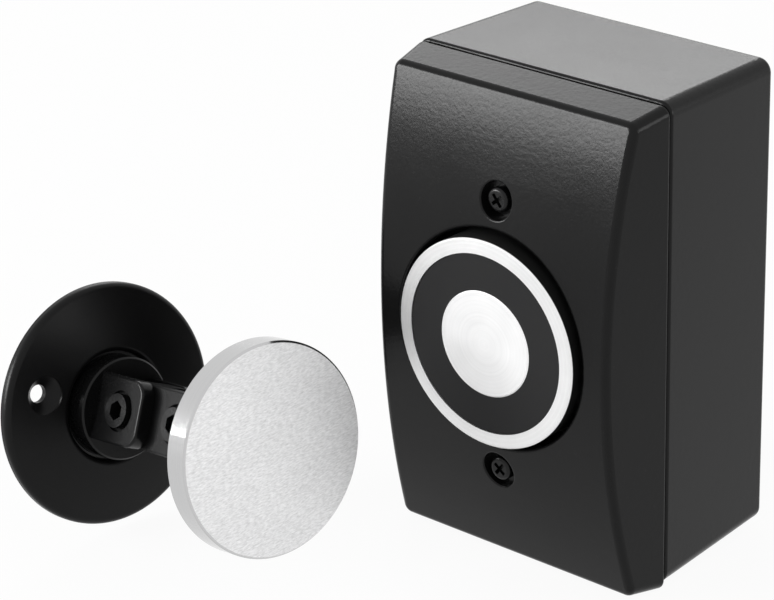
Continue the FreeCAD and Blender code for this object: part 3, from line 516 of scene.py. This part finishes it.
class FittingSettings(bpy.types.PropertyGroup):
    zinc_colour: FloatVectorProperty(
        name="Zinc colour", description="Plating of the strap, the inner screws and the ring",
        subtype="COLOR", size=3, min=0, max=1, default=(0.62, 0.62, 0.6))
    zinc_rough: FloatProperty(
        name="Zinc roughness", description="Roughness of the plating",
        subtype="FACTOR", min=0, max=1, default=0.34)
    zinc_gloss: FloatProperty(
        name="Zinc gloss", description="Strength of reflections on the plating",
        subtype="FACTOR", min=0, max=1, default=0.5)
    bobbin_colour: FloatVectorProperty(
        name="Bobbin colour", description="Nylon of the bobbin",
        subtype="COLOR", size=3, min=0, max=1, default=(0.55, 0.53, 0.47))
    bobbin_rough: FloatProperty(
        name="Bobbin roughness", description="Roughness of the bobbin",
        subtype="FACTOR", min=0, max=1, default=0.5)
    moulding_colour: FloatVectorProperty(
        name="Moulding colour", description="Terminal block, bushing and friction washer",
        subtype="COLOR", size=3, min=0, max=1, default=(0.012, 0.012, 0.0125))
    moulding_rough: FloatProperty(
        name="Moulding roughness", description="Roughness of block, bushing and washer",
        subtype="FACTOR", min=0, max=1, default=0.45)
    lead_colour: FloatVectorProperty(
        name="Lead colour", description="Insulation of the coil leads",
        subtype="COLOR", size=3, min=0, max=1, default=(0.32, 0.02, 0.02))
    lead_rough: FloatProperty(
        name="Lead roughness", description="Roughness of the insulation",
        subtype="FACTOR", min=0, max=1, default=0.4)


class StudioSettings(bpy.types.PropertyGroup):
    camera_place: FloatVectorProperty(
        name="Camera", description="Place of the camera",
        subtype="TRANSLATION", unit="LENGTH", size=3, default=(0.41542, -0.54937, 0.29587))
    azimuth: FloatProperty(
        name="Azimuth", description="Turn of the camera round the part",
        subtype="ANGLE", default=math.radians(42.095))
    elevation: FloatProperty(
        name="Elevation", description="Angle at which the camera looks down",
        subtype="ANGLE", default=math.radians(23.946))
    roll: FloatProperty(
        name="Roll", description="Turn of the camera about its own axis",
        subtype="ANGLE", default=math.radians(-1.4315))
    lens: FloatProperty(
        name="Lens", description="Focal length on a 36 mm sensor",
        subtype="DISTANCE_CAMERA", default=151.138)
    floor_colour: FloatVectorProperty(
        name="Floor", description="Colour of the floor",
        subtype="COLOR", size=3, min=0, max=1, default=(0.95, 0.95, 0.95))
    floor_glow: FloatProperty(
        name="Floor glow", description="Share of plain white in the floor, where it is seen",
        subtype="FACTOR", min=0, max=1, default=0.94)
    floor_level: FloatProperty(
        name="Floor level", description="Height of the floor, at the box's foot",
        unit="LENGTH", default=cad_low.z)
    floor_width: FloatProperty(
        name="Floor width", description="Side of the square floor", unit="LENGTH", default=12.0)
    sky: FloatProperty(name="Sky", description="Strength of the room's even light", default=0.5)
    front_power: FloatProperty(
        name="Front softbox", description="Power of the softbox at the front left",
        unit="POWER", default=9.4)
    front_place: FloatVectorProperty(
        name="Front place", description="Place of the front softbox",
        subtype="TRANSLATION", unit="LENGTH", size=3, default=(-0.69, -0.785, 0.265))
    front_aim: FloatVectorProperty(
        name="Front aim", description="Point that the front softbox faces",
        subtype="TRANSLATION", unit="LENGTH", size=3, default=(0.0, -0.06, 0.265))
    front_size: FloatVectorProperty(
        name="Front size", description="Width and height of the front softbox",
        unit="LENGTH", size=2, default=(0.52, 0.35))
    rear_power: FloatProperty(
        name="Rear softbox", description="Power of the softbox at the rear left",
        unit="POWER", default=3.6)
    rear_place: FloatVectorProperty(
        name="Rear place", description="Place of the rear softbox",
        subtype="TRANSLATION", unit="LENGTH", size=3, default=(-0.92, 1.02, 0.75))
    rear_size: FloatVectorProperty(
        name="Rear size", description="Width and height of the rear softbox",
        unit="LENGTH", size=2, default=(0.62, 0.6))
    side_power: FloatProperty(
        name="Side softbox", description="Power of the softbox behind on the right",
        unit="POWER", default=4.0)
    side_place: FloatVectorProperty(
        name="Side place", description="Place of the side softbox",
        subtype="TRANSLATION", unit="LENGTH", size=3, default=(1.21, 0.63, 0.3))
    side_size: FloatVectorProperty(
        name="Side size", description="Width and height of the side softbox",
        unit="LENGTH", size=2, default=(0.9, 0.5))
    aim: FloatVectorProperty(
        name="Aim", description="Point that the rear and side softboxes face",
        subtype="TRANSLATION", unit="LENGTH", size=3, default=set_middle)


class DoorHolderSettings(bpy.types.PropertyGroup):
    coat: PointerProperty(
        name="Coats", description="Black coats and dark screws", type=CoatSettings)
    steel: PointerProperty(
        name="Magnet and plate", description="Bright steel and resin", type=SteelSettings)
    coil: PointerProperty(
        name="Coil", description="Winding of the magnet", type=CoilSettings)
    fitting: PointerProperty(
        name="Fittings", description="Pieces inside the box and the flange", type=FittingSettings)
    studio: PointerProperty(
        name="Studio", description="Camera, floor and lamps", type=StudioSettings)


# Operators


class HOLDER_OT_box_and_cover(bpy.types.Operator):
    """Coat the box and the arched cover"""

    bl_idname = "holder.box_and_cover"
    bl_label = "Box and cover"

    def execute(self, context):
        coat = context.scene.door_holder.coat
        dress(powder_coat("cover_coat", coat.cover_colour, coat.cover_rough, coat.cover_gloss,
                          coat.peel_size, coat.peel_depth), "back_box", "front_cover")
        return {"FINISHED"}


class HOLDER_OT_magnet(bpy.types.Operator):
    """Finish the magnet's cup, core and resin"""

    bl_idname = "holder.magnet"
    bl_label = "Magnet"

    def execute(self, context):
        steel = context.scene.door_holder.steel
        dress(pole_steel(steel), "pole_core")
        dress(cup_steel(steel), "magnet_cup")
        dress(resin(steel), "potting_ring")
        return {"FINISHED"}


class HOLDER_OT_coil(bpy.types.Operator):
    """Wind the coil in layers on its bobbin"""

    bl_idname = "holder.coil"
    bl_label = "Coil"

    def execute(self, context):
        settings = context.scene.door_holder.coil
        tree = coil_tree(settings.layers, enamelled_wire(settings))
        low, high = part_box("coil_winding")
        length = high.y - low.y - settings.wire
        values = {
            "Wire": settings.wire,
            "Inner radius": settings.core + settings.wire / 2,
            "Length": length,
            "Turns": length / settings.wire,
            "Start": high.y - settings.wire / 2,
            "Height": middle("coil_winding").z,
            "Sides": settings.sides,
            "Points": settings.points,
        }
        carrier = bpy.data.objects.new("coil_carrier", bpy.data.meshes.new("coil_carrier"))
        context.scene.collection.objects.link(carrier)
        winder = carrier.modifiers.new("Winding", "NODES")
        winder.node_group = tree
        for item in tree.interface.items_tree:
            if item.in_out == "INPUT":
                winder[item.identifier] = values[item.name]
        depsgraph = context.evaluated_depsgraph_get()
        mesh = bpy.data.meshes.new_from_object(
            carrier.evaluated_get(depsgraph), depsgraph=depsgraph)
        bpy.data.objects.remove(carrier)
        if not mesh.polygons:
            raise RuntimeError("the coil has no turns")
        mesh.name = "wound_coil"
        coil = bpy.data.objects.new("wound_coil", mesh)
        context.scene.collection.objects.link(coil)
        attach(coil, WALL_BODY)
        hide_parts("coil_winding")
        return {"FINISHED"}


# Radius of the wire against its diameter: a little under half, so that the turns stay apart
WIRE_RADIUS = 0.49


def coil_tree(layers, material):
    """Node tree that winds one helix for each layer along Y and sweeps the wire along it."""
    tree = bpy.data.node_groups.new("Coil winding", "GeometryNodeTree")
    for name in ("Wire", "Inner radius", "Length", "Turns", "Start", "Height"):
        tree.interface.new_socket(name, in_out="INPUT", socket_type="NodeSocketFloat")
    for name in ("Sides", "Points"):
        tree.interface.new_socket(name, in_out="INPUT", socket_type="NodeSocketInt")
    tree.interface.new_socket("Geometry", in_out="OUTPUT", socket_type="NodeSocketGeometry")
    nodes = Nodes(tree)
    given = {socket.name: Wire(nodes, socket)
             for socket in tree.nodes.new("NodeGroupInput").outputs}
    joined = tree.nodes.new("GeometryNodeJoinGeometry")
    for layer in range(layers):
        radius = given["Inner radius"] + layer * given["Wire"]
        helix = nodes.node("GeometryNodeCurveSpiral", None, {
            "Resolution": given["Points"], "Rotations": given["Turns"],
            "Start Radius": radius, "End Radius": radius, "Height": given["Length"]})
        tree.links.new(helix.socket, joined.inputs["Geometry"])
    lift = nodes.node("ShaderNodeCombineXYZ", None, {"Y": given["Start"], "Z": given["Height"]})
    laid = nodes.node("GeometryNodeTransform", None, {
        "Geometry": Wire(nodes, joined.outputs["Geometry"]), "Translation": lift,
        "Rotation": (math.pi / 2, 0.0, 0.0)})
    section = nodes.node("GeometryNodeCurvePrimitiveCircle", None, {
        "Resolution": given["Sides"], "Radius": given["Wire"] * WIRE_RADIUS})
    swept = nodes.node("GeometryNodeCurveToMesh", None, {
        "Curve": laid, "Profile Curve": section, "Fill Caps": True})
    smooth = nodes.node("GeometryNodeSetShadeSmooth", None, {"Geometry": swept})
    real = nodes.node("GeometryNodeRealizeInstances", None, {"Geometry": smooth})
    clad = nodes.node("GeometryNodeSetMaterial", None, {"Geometry": real, "Material": material})
    nodes.node("NodeGroupOutput", None, {"Geometry": clad})
    return tree


class HOLDER_OT_inner_fittings(bpy.types.Operator):
    """Finish the hidden pieces: strap, bobbin, leads and terminals, washer and ring"""

    bl_idname = "holder.inner_fittings"
    bl_label = "Inner fittings"

    def execute(self, context):
        fitting = context.scene.door_holder.fitting
        dress(small_steel("zinc_plate", fitting.zinc_colour, 1.0, fitting.zinc_rough,
                          fitting.zinc_gloss),
              "mounting_strap", "strap_screws", "core_screw", "terminal_screws", "retaining_ring")
        dress(moulded("bobbin_nylon", fitting.bobbin_colour, fitting.bobbin_rough), "coil_bobbin")
        dress(moulded("black_moulding", fitting.moulding_colour, fitting.moulding_rough),
              "terminal_block", "lead_bushing", "friction_washer")
        dress(moulded("lead_insulation", fitting.lead_colour, fitting.lead_rough), "coil_leads")
        return {"FINISHED"}


class HOLDER_OT_screws(bpy.types.Operator):
    """Blacken the cover screws and the hinge screws"""

    bl_idname = "holder.screws"
    bl_label = "Screws"

    def execute(self, context):
        coat = context.scene.door_holder.coat
        dress(small_steel("black_screw", coat.black_colour, 0.0, coat.screw_rough,
                          coat.screw_gloss),
              "cover_screws", "base_pivot_screw", "plate_pivot_screw")
        return {"FINISHED"}


class HOLDER_OT_door_arm(bpy.types.Operator):
    """Coat the flange, the swivel base, the arm and the knuckle"""

    bl_idname = "holder.door_arm"
    bl_label = "Flange and arm"

    def execute(self, context):
        coat = context.scene.door_holder.coat
        dress(powder_coat("flange_coat", coat.black_colour, coat.flange_rough, coat.flange_gloss,
                          coat.peel_size, coat.flange_peel_depth), "door_flange")
        dress(powder_coat("knuckle_coat", coat.black_colour, coat.knuckle_rough,
                          coat.knuckle_gloss, coat.knuckle_peel_size, coat.knuckle_peel_depth),
              "swivel_base", "swivel_arm", "plate_knuckle")
        return {"FINISHED"}


class HOLDER_OT_catch_plate(bpy.types.Operator):
    """Grind the catch plate's face and polish its rim"""

    bl_idname = "holder.catch_plate"
    bl_label = "Catch plate"

    def execute(self, context):
        dress(plate_steel(context.scene.door_holder.steel), "catch_plate")
        return {"FINISHED"}


class HOLDER_OT_studio(bpy.types.Operator):
    """Set up the floor, the room's light, the softboxes and the camera"""

    bl_idname = "holder.studio"
    bl_label = "Studio"

    def execute(self, context):
        studio = context.scene.door_holder.studio
        context.scene.view_settings.view_transform = "Standard"
        make_floor(context, studio)
        make_room_light(context, studio)
        make_softbox(context, "front_softbox", studio.front_power, studio.front_place,
                     studio.front_aim, studio.front_size)
        make_softbox(context, "rear_softbox", studio.rear_power, studio.rear_place,
                     studio.aim, studio.rear_size)
        make_softbox(context, "side_softbox", studio.side_power, studio.side_place,
                     studio.aim, studio.side_size)
        make_camera(context, studio)
        return {"FINISHED"}


def seen_rays(finish):
    """1 for rays that show the background: from the camera, mirrored or through glass."""
    straight, mirrored, through = (
        finish.node("ShaderNodeLightPath", output=f"Is {kind} Ray")
        for kind in ("Camera", "Glossy", "Transmission"))
    return finish.maths("MAXIMUM", finish.maths("MAXIMUM", straight, mirrored), through)


def make_floor(context, studio):
    """Wide pale floor that keeps part of the shadows."""
    half = studio.floor_width / 2
    corners = [(-half, -half), (half, -half), (half, half), (-half, half)]
    mesh = bpy.data.meshes.new("floor")
    mesh.from_pydata([(x, y, studio.floor_level) for x, y in corners], [], [(0, 1, 2, 3)])
    floor = bpy.data.objects.new("floor", mesh)
    context.scene.collection.objects.link(floor)
    finish = new_finish("pale_floor")
    grain = finish.noise(finish.place(), 300 * MM)
    matt = finish.node("ShaderNodeBsdfDiffuse", None, {
        "Color": finish.shade(studio.floor_colour, about(1.0, (0.01, grain)))})
    glow = finish.node("ShaderNodeEmission", None, {"Strength": 1.0})
    blend = finish.node("ShaderNodeMixShader", None, {
        0: seen_rays(finish) * studio.floor_glow, 1: matt, 2: glow})
    finish.node("ShaderNodeOutputMaterial", None, {"Surface": blend})
    mesh.materials.append(finish.block)


def make_room_light(context, studio):
    """Even light from all round; white where it is seen, dimmer where it lights the part."""
    finish = Finish(bpy.data.worlds.new("room"))
    strength = studio.sky + (1.0 - studio.sky) * seen_rays(finish)
    light = finish.node("ShaderNodeBackground", None, {
        "Color": (1.0, 1.0, 1.0, 1.0), "Strength": strength})
    finish.node("ShaderNodeOutputWorld", None, {"Surface": light})
    context.scene.world = finish.block


def make_softbox(context, name, power, place, aim, size):
    """Soft rectangular lamp that faces a point."""
    lamp = bpy.data.lights.new(name, "AREA")
    lamp.shape = "RECTANGLE"
    lamp.size, lamp.size_y = size
    lamp.energy = power
    holder = bpy.data.objects.new(name, lamp)
    holder.location = place
    holder.rotation_euler = (Vector(aim) - Vector(place)).to_track_quat("-Z", "Y").to_euler()
    context.scene.collection.objects.link(holder)


def make_camera(context, studio):
    """Camera at the picture's viewing angle."""
    data = bpy.data.cameras.new("camera")
    data.lens = studio.lens
    data.sensor_width = SENSOR_WIDTH
    camera = bpy.data.objects.new("camera", data)
    turn = (Matrix.Rotation(studio.azimuth, 4, "Z")
            @ Matrix.Rotation(math.pi / 2 - studio.elevation, 4, "X")
            @ Matrix.Rotation(studio.roll, 4, "Z"))
    camera.matrix_world = Matrix.Translation(studio.camera_place) @ turn
    context.scene.collection.objects.link(camera)
    context.scene.camera = camera


class HOLDER_PT_panel(bpy.types.Panel):
    """Buttons and settings of the door holder"""

    bl_idname = "HOLDER_PT_panel"
    bl_label = "Door holder"
    bl_space_type = "VIEW_3D"
    bl_region_type = "UI"
    bl_category = "Door holder"

    def draw(self, context):
        layout = self.layout
        for operator in OPERATORS:
            layout.operator(operator.bl_idname)
        holder = context.scene.door_holder
        for group in (holder.coat, holder.steel, holder.coil, holder.fitting, holder.studio):
            column = layout.column()
            for name in group.__annotations__:
                column.prop(group, name)


SETTINGS = (CoatSettings, SteelSettings, CoilSettings, FittingSettings, StudioSettings,
            DoorHolderSettings)
OPERATORS = (HOLDER_OT_box_and_cover, HOLDER_OT_magnet, HOLDER_OT_coil, HOLDER_OT_inner_fittings,
             HOLDER_OT_screws, HOLDER_OT_door_arm, HOLDER_OT_catch_plate, HOLDER_OT_studio)
CLASSES = SETTINGS + OPERATORS + (HOLDER_PT_panel,)


def register():
    for item in CLASSES:
        bpy.utils.register_class(item)
    bpy.types.Scene.door_holder = PointerProperty(type=DoorHolderSettings)


def unregister():
    del bpy.types.Scene.door_holder
    for item in reversed(CLASSES):
        bpy.utils.unregister_class(item)


def main():
    register()
    bpy.ops.holder.box_and_cover()
    bpy.ops.holder.magnet()
    bpy.ops.holder.coil()
    bpy.ops.holder.inner_fittings()
    bpy.ops.holder.screws()
    bpy.ops.holder.door_arm()
    bpy.ops.holder.catch_plate()
    bpy.ops.holder.studio()


if __name__ == "__main__":
    main()
